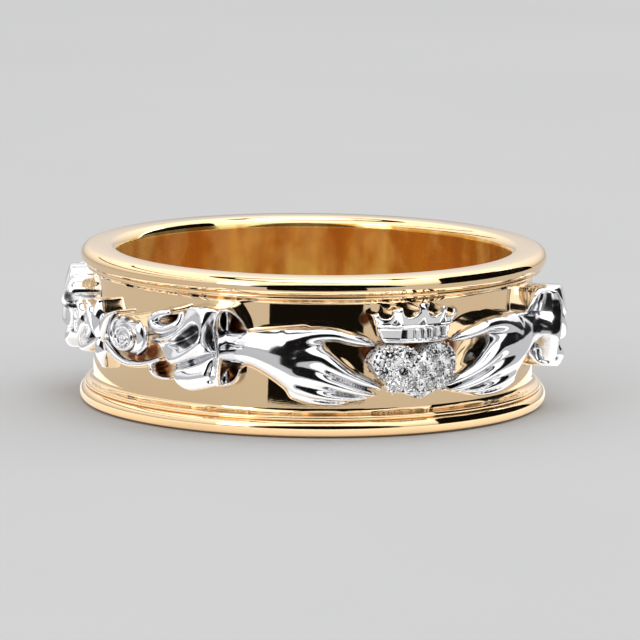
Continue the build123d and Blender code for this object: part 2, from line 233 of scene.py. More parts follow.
def arc_through(start, middle, stop, steps=24):
    """Corners along the arc of a circle through three points, without the last."""
    (ax, az), (bx, bz), (cx, cz) = start, middle, stop
    double = 2 * (ax * (bz - cz) + bx * (cz - az) + cx * (az - bz))
    a2, b2, c2 = ax**2 + az**2, bx**2 + bz**2, cx**2 + cz**2
    ox = (a2 * (bz - cz) + b2 * (cz - az) + c2 * (az - bz)) / double
    oz = (a2 * (cx - bx) + b2 * (ax - cx) + c2 * (bx - ax)) / double
    first, halfway, last = (atan2(z - oz, x - ox) for x, z in (start, middle, stop))
    sweep = (last - first) % (2 * pi)
    if (halfway - first) % (2 * pi) > sweep:
        sweep -= 2 * pi
    reach = hypot(ax - ox, az - oz)
    return [
        (ox + reach * cos(first + sweep * k / steps), oz + reach * sin(first + sweep * k / steps))
        for k in range(steps)
    ]


def mesh_of(points, faces, name):
    """A closed mesh from points in metres and faces, which are turned outward.

    An opening that the faces leave is closed with one more.
    """
    mesh = bpy.data.meshes.new(name)
    mesh.from_pydata(points, [], faces)
    shaping = bmesh.new()
    shaping.from_mesh(mesh)
    bmesh.ops.remove_doubles(shaping, verts=shaping.verts, dist=1e-9)
    loose = [point for point in shaping.verts if not point.link_faces]
    bmesh.ops.delete(shaping, geom=loose, context="VERTS")
    bmesh.ops.holes_fill(shaping, edges=[edge for edge in shaping.edges if edge.is_boundary])
    bmesh.ops.recalc_face_normals(shaping, faces=shaping.faces)
    shaping.to_mesh(mesh)
    shaping.free()
    return mesh


def in_the_scene(name, mesh, material):
    """An object of the scene for a mesh, in one material."""
    mesh.materials.append(material)
    made = bpy.data.objects.new(name, mesh)
    bpy.context.scene.collection.objects.link(made)
    return made


# The outline's corners, from the bore out, are reaches from the axis and levels over the edge.
easing = [
    (bore_radius + easing_reach * (1 - cos(turn)), easing_rise * (1 - sin(turn)))
    for turn in np.linspace(0, pi / 2, easing_steps)
]
rim = arc_through(rim_start, rim_crest, rim_end) + [rim_end]
thread = arc_through(thread_start, thread_crest, thread_end, 16)
cove = arc_through(thread_end, cove_hollow, cove_end, 16) + [cove_end]
half_outline = easing + rim + thread + cove
turned = np.array(half_outline + [(reach, band_width - z) for reach, z in reversed(half_outline)])
turning, corner = np.indices((turning_steps, len(turned)))
angle = turning * 2 * pi / turning_steps
reach, level = turned[corner, 0], turned[corner, 1]
points = metres * np.stack([reach * np.sin(angle), reach * np.cos(angle), level], -1)
numbers = np.arange(turning.size).reshape(turning.shape)
beyond = np.roll(numbers, -1, axis=0)
quads = [numbers, beyond, np.roll(beyond, -1, axis=1), np.roll(numbers, -1, axis=1)]
quads = np.stack(quads, -1).reshape(-1, 4).tolist()
band_mesh = mesh_of(points.reshape(-1, 3).tolist(), quads, "band_turned")
band_mesh.shade_smooth()
band_mesh.set_sharp_from_angle(angle=crease)
band = in_the_scene("band_turned", band_mesh, yellow_gold)
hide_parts("band")
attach(band, "root")


# Hands: cast white gold, a left and a right one at the front and again at the back. Each lies
# on the field with its wrist in a cuff, the thumb up and four fingers together towards the
# heart's foot, and is soldered on along its edge.

# Relief is carved in millimetres on the unrolled field: x along the band, z over its edge and h
# out from the field. A place along the band is a turn in degrees from the front heart.
carving_radius = 10.3
floor_of_relief = -0.12
base_margin = 0.005
thinnest_form = 0.02


def along(turn):
    """Millimetres along the unrolled band for a turn."""
    return np.radians(turn) * carving_radius


def smooth_run(stations, steps=14):
    """A smooth run of cross-sections through the few stations of a table."""
    rows = np.array(stations, float)
    ends = np.vstack([2 * rows[0] - rows[1], rows, 2 * rows[-1] - rows[-2]])
    run = []
    for before, start, stop, after in zip(ends, ends[1:], ends[2:], ends[3:]):
        for step in range(steps):
            u = step / steps
            pull = (stop - before) / 2
            push = (after - start) / 2
            run.append(
                start * (2 * u**3 - 3 * u**2 + 1)
                + stop * (3 * u**2 - 2 * u**3)
                + pull * (u**3 - 2 * u**2 + u)
                + push * (u**3 - u**2)
            )
    run.append(rows[-1])
    return np.array(run)


def unrolled(stations):
    """A smooth run whose turns are made millimetres along the band."""
    run = smooth_run(stations)
    run[:, 0] = along(run[:, 0])
    return run


def nearest_on(run, x, z):
    """How far points lie from a run, and the run's other columns where it is nearest."""
    x, z = np.broadcast_arrays(x, z)
    start, leg = run[:-1], np.diff(run, axis=0)
    dx, dz = x[..., None] - start[:, 0], z[..., None] - start[:, 1]
    share = (dx * leg[:, 0] + dz * leg[:, 1]) / (leg[:, 0] ** 2 + leg[:, 1] ** 2)
    share = np.clip(share, 0, 1)
    off = np.hypot(dx - share * leg[:, 0], dz - share * leg[:, 1])
    pick = off.argmin(-1)[..., None]
    share = np.take_along_axis(share, pick, -1)[..., 0]
    off = np.take_along_axis(off, pick, -1)[..., 0]
    pick = pick[..., 0]
    return off, [start[pick, k] + share * leg[pick, k] for k in range(2, run.shape[1])]


def swell(*stations, upright=0, rooted=True):
    """A rounded form along a run of stations: turn, level, half width, crest and shoulder.

    The result gives the distance out of the form at any point. A rooted form has straight
    walls from its shoulder down to the field; another one is a free oval bar. An upright one
    takes its sections straight across the band, and the number says how bluntly it ends.
    """
    run = unrolled(stations)
    if run[0, 0] > run[-1, 0]:
        run = run[::-1]

    def nearest(x, z):
        if not upright:
            return nearest_on(run, x, z)
        x, z = np.broadcast_arrays(x, z)
        inside = np.clip(x, run[0, 0], run[-1, 0])
        found = [np.interp(inside, run[:, 0], run[:, k]) for k in range(1, 5)]
        return np.hypot(z - found[0], upright * (x - inside)), found[1:]

    def distance(x, z, h):
        across, (half_width, crest, shoulder) = nearest(x, z)
        rise = np.maximum(crest - shoulder, thinnest_form)
        half_width = np.maximum(half_width, thinnest_form)
        up = h - shoulder
        if rooted:
            up = np.maximum(up, 0)
        size = np.sqrt((across / half_width) ** 2 + (up / rise) ** 2)
        slope = np.sqrt(across**2 / half_width**4 + up**2 / rise**4) / np.maximum(size, 1e-4)
        return (size - 1) / np.maximum(slope, 1 / np.maximum(half_width, rise))

    return distance


def merge(first, second, soft):
    """Two distances joined into one form, with a soft valley between."""
    share = np.clip(0.5 + 0.5 * (second - first) / soft, 0, 1)
    return second + (first - second) * share - soft * share * (1 - share)


def carve(form, cut, soft):
    """A distance with another form cut out of it, and softened edges."""
    return -merge(-form, cut, soft)


def sculpt(form, sides, levels, crests, grain):
    """Points and quads for a form inside a block: its sides, levels and crests from and to.

    The points that stand free of the block's floor are then drawn onto the form in two steps.
    """
    x = np.arange(*sides, grain)
    z = np.arange(*levels, grain)
    h = np.arange(*crests, grain)
    block = form(x[:, None, None], z[None, :, None], h[None, None, :])
    skin = openvdb.FloatGrid(background=1.0)
    skin.copyFromArray(np.ascontiguousarray(block, dtype=np.float32))
    points, quads = skin.convertToQuads(isovalue=0.0)
    points = points.astype(float) * grain + (x[0], z[0], h[0])
    free = points[:, 2] > crests[0] + 3 * grain
    probe = grain / 20
    for _ in range(2):
        at = points[free]
        here = form(*at.T)
        slope = np.stack(
            [(form(*(at + probe * np.eye(3)[axis]).T) - here) / probe for axis in range(3)], 1
        )
        step = here[:, None] * slope / np.maximum((slope**2).sum(1, keepdims=True), 0.25)
        points[free] = at - np.clip(step, -grain, grain)
    return points, quads


def rolled(points, mirrored, spun):
    """Points on the unrolled field laid round the band, in metres, at one of its four places."""
    angle = points[:, 0] / carving_radius * (-1 if mirrored else 1)
    reach = (field_radius + points[:, 2]) * (-1 if spun else 1)
    return metres * np.stack([-np.sin(angle) * reach, -np.cos(angle) * reach, points[:, 1]], 1)


def standing(form):
    """The form cut off inside the band's wall, where it stands on the unrolled field."""
    return lambda x, z, h: np.maximum(form(x, z, h), floor_of_relief - h)


def cast(shape, name, node, material, mirrored=False, spun=False, laid=rolled):
    """One casting in white gold from a sculpted shape, which stands for its plain node.

    Its base is inside the band's wall, where one face closes it.
    """
    points, quads = shape
    placed = laid(points, mirrored, spun)
    base = metres * (field_radius + floor_of_relief + base_margin)
    sunk = np.hypot(placed[:, 0], placed[:, 1]) < base
    mesh = mesh_of(placed.tolist(), quads[~sunk[quads].all(1)].tolist(), name)
    mesh.shade_smooth()
    piece = in_the_scene(name, mesh, material)
    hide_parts(node)
    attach(piece, "root")


faces_of_ring = {"front": False, "back": True}


def cast_four(name, form, turns, levels, crests, grain):
    """The same casting at the front and the back, with its mirror image beside it."""
    shape = sculpt(standing(form), along(turns), levels, crests, grain)
    for face, spun in faces_of_ring.items():
        for side, mirrored in (("left", False), ("right", True)):
            node = f"{face}_{side}_{name}"
            cast(shape, f"{name}_{face}_{side}", node, white_gold, mirrored, spun)


white_gold = gold_finish(
    "white_gold_polish", colour=(0.81, 0.81, 0.825, 1), deep_colour=(0.77, 0.77, 0.79, 1),
    roughness=0.10, wear_scale=300,
    # Painted shade and painted dark reflection: a dark grey in hollows and creases of the cuffs,
    # hands and scrolls.
    painted_shade_spots=(
        (0.10, 0.10, 0.105, 1),
        [
            (55.0, 4.36, 10.8, 0.50), (57.4, 4.10, 10.8, 0.38), (53.8, 4.64, 10.8, 0.38),
            (66.4, 4.45, 10.9, 0.42), (64.3, 4.19, 10.9, 0.38), (50.0, 4.39, 10.8, 0.38),
            (49.2, 4.96, 10.8, 0.20), (50.8, 3.90, 10.8, 0.28), (59.0, 2.82, 10.7, 0.20),
            (54.6, 3.15, 10.8, 0.20), (58.2, 1.93, 10.3, 0.42), (54.3, 2.00, 10.3, 0.28),
            (49.8, 3.12, 10.7, 0.24), (46.2, 3.86, 10.5, 0.20), (43.2, 3.87, 10.5, 0.12),
            (74.3, 4.64, 10.7, 0.24), (77.2, 4.65, 10.7, 0.20),
        ],
    ),
)
# Each station is a turn, a level, a half width, a crest and a shoulder.
palm = swell(
    (50.6, 3.86, 0.74, 0.78, 0.20), (48.0, 3.86, 0.75, 0.82, 0.22),
    (45.0, 3.80, 0.76, 0.86, 0.25), (40.5, 3.82, 0.87, 0.98, 0.30),
    (35.5, 3.65, 1.16, 1.12, 0.35), (30.5, 3.38, 1.52, 1.20, 0.35),
    (26.5, 3.22, 1.66, 1.15, 0.30), (23.0, 2.85, 1.30, 0.92, 0.25),
    (20.0, 2.55, 0.95, 0.55, 0.10),
    upright=1,
)
thumb = swell(
    (31.0, 4.20, 0.55, 1.05, 0.35), (25.0, 4.52, 0.42, 1.14, 0.40),
    (20.5, 4.54, 0.34, 1.12, 0.45), (17.5, 4.40, 0.32, 1.05, 0.42),
    (15.0, 4.28, 0.30, 0.96, 0.38), (12.5, 4.16, 0.23, 0.82, 0.32),
    (10.9, 4.06, 0.12, 0.62, 0.25),
)
finger_runs = {
    "index": [
        (28.0, 3.62, 0.50, 1.16, 0.40), (24.0, 3.52, 0.50, 1.22, 0.42),
        (21.5, 3.26, 0.47, 1.24, 0.45), (19.0, 2.98, 0.38, 1.20, 0.45),
        (16.5, 2.74, 0.30, 1.12, 0.42), (13.5, 2.50, 0.25, 1.02, 0.40),
        (11.3, 2.34, 0.21, 0.92, 0.36), (9.3, 2.16, 0.12, 0.74, 0.30),
    ],
    "middle": [
        (28.0, 2.82, 0.40, 1.14, 0.40), (24.0, 2.62, 0.36, 1.16, 0.42),
        (20.5, 2.40, 0.32, 1.12, 0.42), (17.0, 2.18, 0.26, 1.02, 0.38),
        (14.0, 2.02, 0.21, 0.90, 0.34), (11.8, 1.92, 0.16, 0.78, 0.30),
        (10.2, 1.87, 0.09, 0.62, 0.25),
    ],
    "ring": [
        (29.0, 2.20, 0.28, 1.02, 0.35), (25.0, 1.99, 0.26, 1.04, 0.36),
        (21.0, 1.84, 0.22, 0.98, 0.34), (17.5, 1.76, 0.17, 0.86, 0.30),
        (14.5, 1.75, 0.13, 0.74, 0.26), (12.2, 1.76, 0.07, 0.58, 0.22),
    ],
    "little": [
        (30.0, 1.94, 0.26, 0.88, 0.30), (26.0, 1.70, 0.22, 0.86, 0.30),
        (22.5, 1.58, 0.17, 0.80, 0.28), (19.5, 1.55, 0.13, 0.70, 0.24),
        (17.0, 1.60, 0.07, 0.54, 0.20),
    ],
}
fingers = [swell(*run) for run in finger_runs.values()]
wrist_crease = swell(
    (50.0, 3.90, 0.15, 0.98, 0.80),
    (46.0, 3.90, 0.10, 0.99, 0.86),
    (42.0, 3.92, 0.03, 1.02, 0.96),
    rooted=False,
)


def hand_form(x, z, h):
    """The hand's distance: fingers laid together, then the palm, thumb and wrist crease."""
    bundle = fingers[0](x, z, h)
    for finger in fingers[1:]:
        bundle = merge(bundle, finger(x, z, h), soft=0.05)
    form = merge(bundle, palm(x, z, h), soft=0.30)
    form = merge(form, thumb(x, z, h), soft=0.22)
    return carve(form, wrist_crease(x, z, h), soft=0.05)


cast_four("hand", hand_form, (7, 51.5), levels=(1.1, 5.3), crests=(-0.2, 1.5), grain=0.046)


# Cuffs: cast white gold sleeve ends. Each is a hollow bell of cloth that opens towards the
# hand, with a long fold that bends over it, a soft lobe under it and a far corner that is
# rolled up. They are soldered to the field round the wrists.
def outline(corners):
    """The distance outside a closed outline, below nothing inside it."""
    start = np.array(corners, float)
    leg = np.roll(start, -1, axis=0) - start
    rise = np.where(leg[:, 1] == 0, 1e-9, leg[:, 1])

    def distance(x, z):
        x, z = np.broadcast_arrays(x, z)
        x, z = x[..., None], z[..., None]
        dx, dz = x - start[:, 0], z - start[:, 1]
        share = np.clip((dx * leg[:, 0] + dz * leg[:, 1]) / (leg**2).sum(1), 0, 1)
        off = np.hypot(dx - share * leg[:, 0], dz - share * leg[:, 1]).min(-1)
        crossed = (start[:, 1] > z) != (start[:, 1] + leg[:, 1] > z)
        to_right = x < start[:, 0] + dz * leg[:, 0] / rise
        return np.where((crossed & to_right).sum(-1) % 2 == 1, -off, off)

    return distance


def height_over(runs, x, z, ground=0.0):
    """A height that rolls over folds, each a run of place, level, rise or dip, and width."""
    height = ground + 0.0 * (x + z)
    for run in runs:
        off, (rise, width) = nearest_on(run, x, z)
        height = height + rise * np.exp(-((off / width) ** 2))
    return height


cloth_edge = [
    (54.1, 5.58), (51.2, 5.60), (48.6, 5.54), (47.5, 5.42), (47.6, 4.95), (47.6, 4.45),
    (47.3, 4.02), (47.1, 3.52), (47.2, 3.01), (47.3, 2.58), (47.4, 2.26), (49.4, 2.13),
    (51.9, 1.98), (54.4, 1.92), (56.6, 2.05), (58.2, 2.37), (58.6, 2.68), (59.3, 2.87),
    (61.3, 3.14), (62.7, 3.51), (65.0, 3.86), (66.9, 3.98), (64.3, 4.08), (61.2, 4.16),
    (58.4, 4.40), (56.7, 4.74), (55.6, 5.19), (54.9, 5.48), (54.1, 5.58),
]
cloth = outline([(along(turn), level) for turn, level in smooth_run(cloth_edge, 4)[:-1]])
cloth_folds = {
    "bent edge": [
        (52.6, 5.40, 0.10, 0.26), (54.0, 5.04, 0.20, 0.24),
        (55.3, 4.66, 0.26, 0.22), (58.0, 4.26, 0.28, 0.20),
        (61.8, 4.06, 0.24, 0.18), (65.4, 3.98, 0.14, 0.16),
    ],
    "long fold": [
        (50.6, 5.50, 0.12, 0.40), (50.6, 5.03, 0.26, 0.36),
        (50.8, 4.52, 0.34, 0.30), (51.6, 4.09, 0.38, 0.28),
        (53.8, 3.69, 0.36, 0.28), (56.2, 3.39, 0.30, 0.27),
        (58.8, 3.16, 0.18, 0.24),
    ],
    "lobe": [(56.6, 2.46, 0.16, 0.36), (53.6, 2.52, 0.26, 0.40), (49.6, 2.72, 0.28, 0.42)],
    "dart": [
        (53.4, 4.42, -0.46, 0.30), (55.4, 4.22, -0.44, 0.26),
        (57.8, 4.00, -0.28, 0.18), (60.6, 3.87, -0.08, 0.12),
    ],
    "far slope": [(66.5, 3.95, -0.34, 0.70), (62.5, 3.50, -0.20, 0.45), (59.3, 2.95, -0.12, 0.24)],
    "valley": [
        (58.9, 2.83, -0.26, 0.09), (56.2, 2.99, -0.34, 0.10),
        (52.3, 3.25, -0.38, 0.10), (48.6, 3.56, -0.28, 0.09),
    ],
    "mouth groove": [
        (48.2, 5.30, -0.16, 0.08), (48.8, 4.87, -0.44, 0.13),
        (49.3, 4.50, -0.54, 0.17), (49.2, 4.14, -0.54, 0.17),
        (48.6, 3.84, -0.40, 0.13), (48.2, 3.62, -0.16, 0.08),
    ],
    "lobe's end": [(48.3, 3.30, -0.08, 0.10), (48.6, 2.90, -0.20, 0.14), (48.9, 2.50, -0.14, 0.12)],
}
cloth_runs = [unrolled(fold) for fold in cloth_folds.values()]
cloth_crest, cloth_slope_share = 1.30, 0.8
mouth_rim = swell(
    (47.0, 5.41, 0.08, 1.46, 1.16), (47.4, 5.01, 0.10, 1.62, 1.20),
    (47.3, 4.51, 0.11, 1.70, 1.24), (46.8, 4.09, 0.11, 1.72, 1.24),
    (46.5, 3.59, 0.11, 1.70, 1.22), (46.8, 3.07, 0.10, 1.60, 1.18),
    (47.1, 2.61, 0.09, 1.48, 1.10), (47.2, 2.29, 0.08, 1.30, 1.00),
)
rolled_corner = swell(
    (57.2, 5.17, 0.16, 1.18, 0.80), (57.4, 4.89, 0.21, 1.28, 0.85),
    (58.6, 4.63, 0.25, 1.38, 0.90), (60.9, 4.44, 0.27, 1.40, 0.92),
    (63.4, 4.42, 0.28, 1.36, 0.90), (65.2, 4.57, 0.28, 1.30, 0.88),
    (65.3, 4.82, 0.26, 1.24, 0.85), (63.7, 5.03, 0.22, 1.16, 0.80),
    (61.4, 5.15, 0.16, 1.06, 0.74),
)
lip_runs = [
    [
        (47.3, 2.25, 0.09, 1.30, 0.90), (46.0, 2.25, 0.09, 1.00, 0.60),
        (44.5, 2.38, 0.08, 0.80, 0.45), (43.7, 2.61, 0.07, 0.66, 0.35),
        (43.4, 2.86, 0.06, 0.55, 0.30),
    ],
    [
        (47.0, 5.46, 0.09, 1.34, 0.90), (45.6, 5.48, 0.09, 1.00, 0.60),
        (44.1, 5.29, 0.08, 0.80, 0.45), (42.6, 4.96, 0.07, 0.68, 0.35),
        (41.8, 4.67, 0.06, 0.58, 0.30),
    ],
    [
        (45.9, 5.44, 0.06, 1.00, 0.60), (45.8, 5.00, 0.07, 0.92, 0.55),
        (46.2, 4.60, 0.06, 0.80, 0.45),
    ],
    [
        (46.4, 2.83, 0.05, 0.70, 0.40), (46.2, 2.52, 0.06, 0.80, 0.45),
        (46.2, 2.26, 0.06, 0.90, 0.50),
    ],
]
lips = [swell(*run) for run in lip_runs]
inside_of_bell = swell(
    (44.0, 3.86, 1.42, 1.06, 0.50), (47.0, 3.86, 1.40, 1.06, 0.50),
    (48.6, 3.86, 1.20, 0.96, 0.45), (50.0, 3.86, 0.80, 0.80, 0.40),
    upright=4,
)


def cuff_form(x, z, h):
    """The cuff's distance: cloth inside its edge, the rolled corner, the hollow and the lips."""
    surface = (h - height_over(cloth_runs, x, z, cloth_crest)) * cloth_slope_share
    form = carve(surface, -(cloth(x, z) + 0 * h), soft=0.14)
    form = merge(form, rolled_corner(x, z, h), soft=0.05)
    form = carve(form, inside_of_bell(x, z, h), soft=0.05)
    form = merge(form, mouth_rim(x, z, h), soft=0.06)
    for lip in lips:
        form = merge(form, lip(x, z, h), soft=0.05)
    return form


cast_four("cuff", cuff_form, (40.8, 68.6), levels=(1.75, 5.8), crests=(-0.2, 1.9), grain=0.047)


# Scrolls: cast white gold. Each has a coiled volute and a stem that runs below it from the
# side leaves to a small curl beside the cuff.
volute_turn, volute_level = 76.5, 3.88
eye_turn, eye_level = 77.3, 3.60
volute_reach, volute_rise = 0.94, 0.76
volute_start = radians(52)
volute_turns = 2.45
volute_steps = 32


def volute_run():
    """The ridge's run: it winds inwards to the eye, and thins a little towards it."""
    run = []
    for step in range(volute_steps + 1):
        share = step / volute_steps
        angle = volute_start + 2 * pi * volute_turns * share
        left = 1 - 0.94 * share
        turn = volute_turn + (eye_turn - volute_turn) * share
        turn -= np.degrees(volute_reach * left * cos(angle) / carving_radius)
        level = volute_level + (eye_level - volute_level) * share
        level += volute_rise * left * sin(angle)
        run.append((turn, level, 0.125 - 0.045 * share, 1.02 - 0.08 * share, 0.64))
    return run


stem = swell(
    (87.4, 3.20, 0.15, 0.60, 0.20), (84.9, 2.98, 0.18, 0.68, 0.25),
    (80.9, 2.71, 0.19, 0.74, 0.30), (76.8, 2.58, 0.19, 0.76, 0.30),
    (72.4, 2.62, 0.17, 0.74, 0.30), (69.2, 2.75, 0.15, 0.72, 0.30),
    (65.9, 2.97, 0.12, 0.68, 0.30),
)
small_curl = swell(
    (65.6, 2.98, 0.11, 0.68, 0.30), (67.6, 2.83, 0.12, 0.68, 0.30),
    (68.5, 2.53, 0.12, 0.66, 0.30), (67.3, 2.28, 0.11, 0.64, 0.30),
    (65.1, 2.18, 0.10, 0.60, 0.28), (62.9, 2.19, 0.08, 0.54, 0.26),
)
outer_layer = swell(
    (70.9, 4.25, 0.08, 0.56, 0.26), (70.2, 3.86, 0.11, 0.60, 0.28),
    (70.9, 3.40, 0.11, 0.60, 0.28), (73.6, 3.04, 0.08, 0.54, 0.24),
)
volute = swell(*volute_run())
volute_disc = swell(
    (volute_turn - 0.9, volute_level - 0.02, 0.84, 0.80, 0.44),
    (volute_turn + 0.9, volute_level - 0.02, 0.84, 0.80, 0.44),
)


def scroll_form(x, z, h):
    """The scroll's distance: disc and coil, then the stem and its small curl."""
    form = merge(volute_disc(x, z, h), volute(x, z, h), soft=0.05)
    form = merge(form, outer_layer(x, z, h), soft=0.04)
    form = merge(form, stem(x, z, h), soft=0.06)
    return merge(form, small_curl(x, z, h), soft=0.05)


cast_four(
    "scroll", scroll_form, (61.5, 88.2), levels=(1.95, 4.95), crests=(-0.2, 1.2), grain=0.038
)


# Side leaves: one casting at each side, a fan of three leaves over a bud, set between the
# stems of the front and back scrolls.
side_turn = 90


def leaf_run(side):
    """The run of a leaf: the middle one stands up, the outer ones bend over the volutes."""
    if side == 0:
        return [
            (side_turn, 3.30, 0.14, 0.74, 0.30),
            (side_turn, 3.90, 0.30, 0.96, 0.38),
            (side_turn, 4.45, 0.32, 0.98, 0.38),
            (side_turn, 4.98, 0.12, 0.74, 0.28),
        ]
    return [
        (side_turn + 1.4 * side, 3.32, 0.12, 0.66, 0.25),
        (side_turn + 2.9 * side, 3.72, 0.20, 0.84, 0.35),
        (side_turn + 4.0 * side, 4.10, 0.24, 0.90, 0.36),
        (side_turn + 5.6 * side, 4.44, 0.20, 0.86, 0.34),
        (side_turn + 7.6 * side, 4.66, 0.10, 0.70, 0.28),
    ]


fan = [swell(*leaf_run(side)) for side in (-1, 0, 1)]
bud = swell(
    (side_turn, 3.45, 0.20, 0.70, 0.25), (side_turn, 3.00, 0.30, 0.82, 0.35),
    (side_turn, 2.55, 0.28, 0.74, 0.30), (side_turn, 2.10, 0.12, 0.50, 0.18),
)


def leaves_form(x, z, h):
    """The side piece's distance: three leaves and the bud below them."""
    form = bud(x, z, h)
    for leaf in fan:
        form = merge(form, leaf(x, z, h), soft=0.05)
    return form


leaves_sides = along((81, 99))
leaves = sculpt(
    standing(leaves_form), leaves_sides, levels=(1.8, 5.2), crests=(-0.2, 1.2), grain=0.038
)
cast(leaves, "leaves_left", "left_leaves", white_gold)
cast(leaves, "leaves_right", "right_leaves", white_gold, mirrored=True)


# Hearts: cast white gold, one at the front and one at the back. Each is a domed plate, drilled
# with a seat for every stone and pitted between the seats, where the graver raised the grains;
# the pits are painted dark as shade.
heart_width, heart_height = 4.15, 2.37
heart_foot = 1.68
heart_crest = 1.22
heart_edge_softness = 0.16
dome_radius = 3.2
dome_level = heart_foot + heart_height / 2
dome_depth = dome_radius - heart_crest
seat_clearance = 0.015
seat_wall, seat_taper, seat_depth, seat_narrowest = 0.26, 0.40, 0.60, 0.2
Seat = namedtuple("Seat", "stone table out half_width")


def straight(points, mirrored, spun):
    """Points of a piece that is carved straight from the front, in metres."""
    side = (-1 if mirrored else 1) * (-1 if spun else 1)
    reach = (field_radius + points[:, 2]) * (-1 if spun else 1)
    return metres * np.stack([points[:, 0] * side, -reach, points[:, 1]], 1)


def above_wall(form):
    """The form cut off inside the band's wall, where it is carved straight from the front."""
    foot = field_radius + floor_of_relief
    return lambda x, z, h: np.maximum(form(x, z, h), foot - np.hypot(x, h + field_radius))


def heart_corner(across, up):
    """A corner of the heart's outline from its shares of the width and the height."""
    return (across * heart_width, heart_foot + up * heart_height)


heart_tip, heart_side, notch = heart_corner(0, 0), heart_corner(0.5, 0.68), heart_corner(0, 0.789)
heart_half = arc_through(heart_tip, heart_corner(0.285, 0.225), heart_side)
heart_half += arc_through(heart_side, heart_corner(0.27, 1.0), notch)
heart_outline = outline(
    heart_half + [notch] + [(-across, up) for across, up in reversed(heart_half[1:])]
)


def heart_seats(face):
    """The seats of one heart, from its stones: the table's middle, the way out, half width."""
    front = -1 if face == "front" else 1
    dome_middle = Vector((0, front * (field_radius - dome_depth), dome_level)) * metres
    seats = []
    for stone in sorted(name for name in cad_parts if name.startswith(face + "_stone_")):
        corners = [corner.co.copy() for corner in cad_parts[stone].data.vertices]
        middle = sum(corners, Vector()) / len(corners)
        out = (middle - dome_middle).normalized()
        reaches = [(corner - dome_middle).dot(out) for corner in corners]
        widths = [
            (corner - dome_middle - out * reach).length for corner, reach in zip(corners, reaches)
        ]
        seats.append(Seat(stone, dome_middle + out * max(reaches), out, max(widths)))
    return seats


front_seats = heart_seats("front")


def heart_form(x, z, h):
    """The heart's distance: its outline under the dome, drilled for the stones."""
    dome = np.sqrt(x**2 + (z - dome_level) ** 2 + (h + dome_depth) ** 2) - dome_radius
    form = carve(dome, -(heart_outline(x, z) + 0 * h), heart_edge_softness)
    for seat in front_seats:
        table_x, table_y, table_z = (part / metres for part in seat.table)
        dx, dy, dz = x - table_x, -(h + field_radius) - table_y, z - table_z
        depth = dx * seat.out.x + dy * seat.out.y + dz * seat.out.z
        off = np.sqrt(np.maximum(dx**2 + dy**2 + dz**2 - depth**2, 0))
        room = seat.half_width / metres + seat_clearance
        room = room * np.clip(1 - (-depth - seat_wall) / seat_taper, seat_narrowest, 1)
        drill = np.maximum(off - room, -depth - seat_depth)
        form = carve(form, drill, soft=0.02)
    return form


def cast_two(name, form, material, half_width, levels, crests, grain):
    """The same casting over the middle of the front and of the back."""
    shape = sculpt(above_wall(form), (-half_width, half_width), levels, crests, grain)
    for face, spun in faces_of_ring.items():
        cast(shape, f"{name}_{face}", f"{face}_{name}", material, spun=spun, laid=straight)


grain_set_gold = gold_finish(
    "grain_set_white_gold", colour=(1.0, 1.0, 1.0, 1), deep_colour=(0.98, 0.98, 0.98, 1),
    # The pits are painted near black as shade between the grains.
    roughness=0.15, wear_scale=300, pits=(7500, 0.45, (0.03, 0.03, 0.033, 1)),
)
heart_levels = (heart_foot - 0.15, heart_foot + heart_height + 0.15)
cast_two(
    "heart", heart_form, grain_set_gold, heart_width / 2 + 0.15, heart_levels,
    crests=(-0.45, 1.4), grain=0.04,
)


# Stones: round brilliants, fourteen to a heart, each with a table, crown facets, a girdle and
# pavilion facets. They sit in the drilled seats and are held by the grains.
stone_sides = 8
table_share, star_share, lower_share = 0.56, 0.78, 0.24
crown_share, girdle_share, pavilion_share = 0.17, 0.03, 0.43
stone_finish = Finish(bpy.data.materials.new("clear_stone"))
stone_looks = {
    "Base Color": (0.98, 0.985, 1.0, 1), "Roughness": 0.0, "IOR": 2.4, "Transmission Weight": 1.0
}
clear_stone = stone_finish.close(stone_finish.node("ShaderNodeBsdfPrincipled", {}, stone_looks))


def aimed(place, way, front="-Z"):
    """Where a thing stands that is put at a place with its front along a way."""
    return Matrix.Translation(place) @ way.to_track_quat(front, "Y").to_matrix().to_4x4()


def brilliant(half_width):
    """Corners and facets of a round brilliant whose table lies at height nought."""
    width = 2 * half_width
    crown, girdle, pavilion = width * crown_share, width * girdle_share, width * pavilion_share
    lean = cos(pi / stone_sides)
    star_drop = crown * (star_share * lean - table_share) / (1 - table_share)
    lower_drop = crown + girdle + pavilion * (1 - lower_share * lean)

    def ring(count, reach, level, offset=0.0):
        angles = [2 * pi * (k + offset) / count for k in range(count)]
        return [(reach * half_width * cos(a), reach * half_width * sin(a), level) for a in angles]

    corners = ring(stone_sides, table_share, 0)
    corners += ring(stone_sides, star_share, -star_drop, 0.5)
    corners += ring(2 * stone_sides, 1, -crown)
    corners += ring(2 * stone_sides, 1, -crown - girdle)
    corners += ring(stone_sides, lower_share, -lower_drop, 0.5)
    corners += [(0, 0, -crown - girdle - pavilion)]
    table, star, upper, lower, foot, culet = (stone_sides * k for k in (0, 1, 2, 4, 6, 7))
    facets = [tuple(range(stone_sides))]
    for k in range(stone_sides):
        after, before = (k + 1) % stone_sides, (k - 1) % stone_sides
        corner, half = 2 * k, 2 * k + 1
        last = (2 * k + 2) % (2 * stone_sides)
        facets += [
            (table + k, star + k, table + after),
            (table + k, star + before, upper + corner, star + k),
            (star + k, upper + corner, upper + half),
            (star + k, upper + half, upper + last),
            (upper + corner, lower + corner, lower + half, upper + half),
            (upper + half, lower + half, lower + last, upper + last),
            (foot + k, lower + half, lower + corner),
            (foot + k, lower + last, lower + half),
            (culet, foot + k, lower + corner, foot + before),
        ]
    return corners, facets


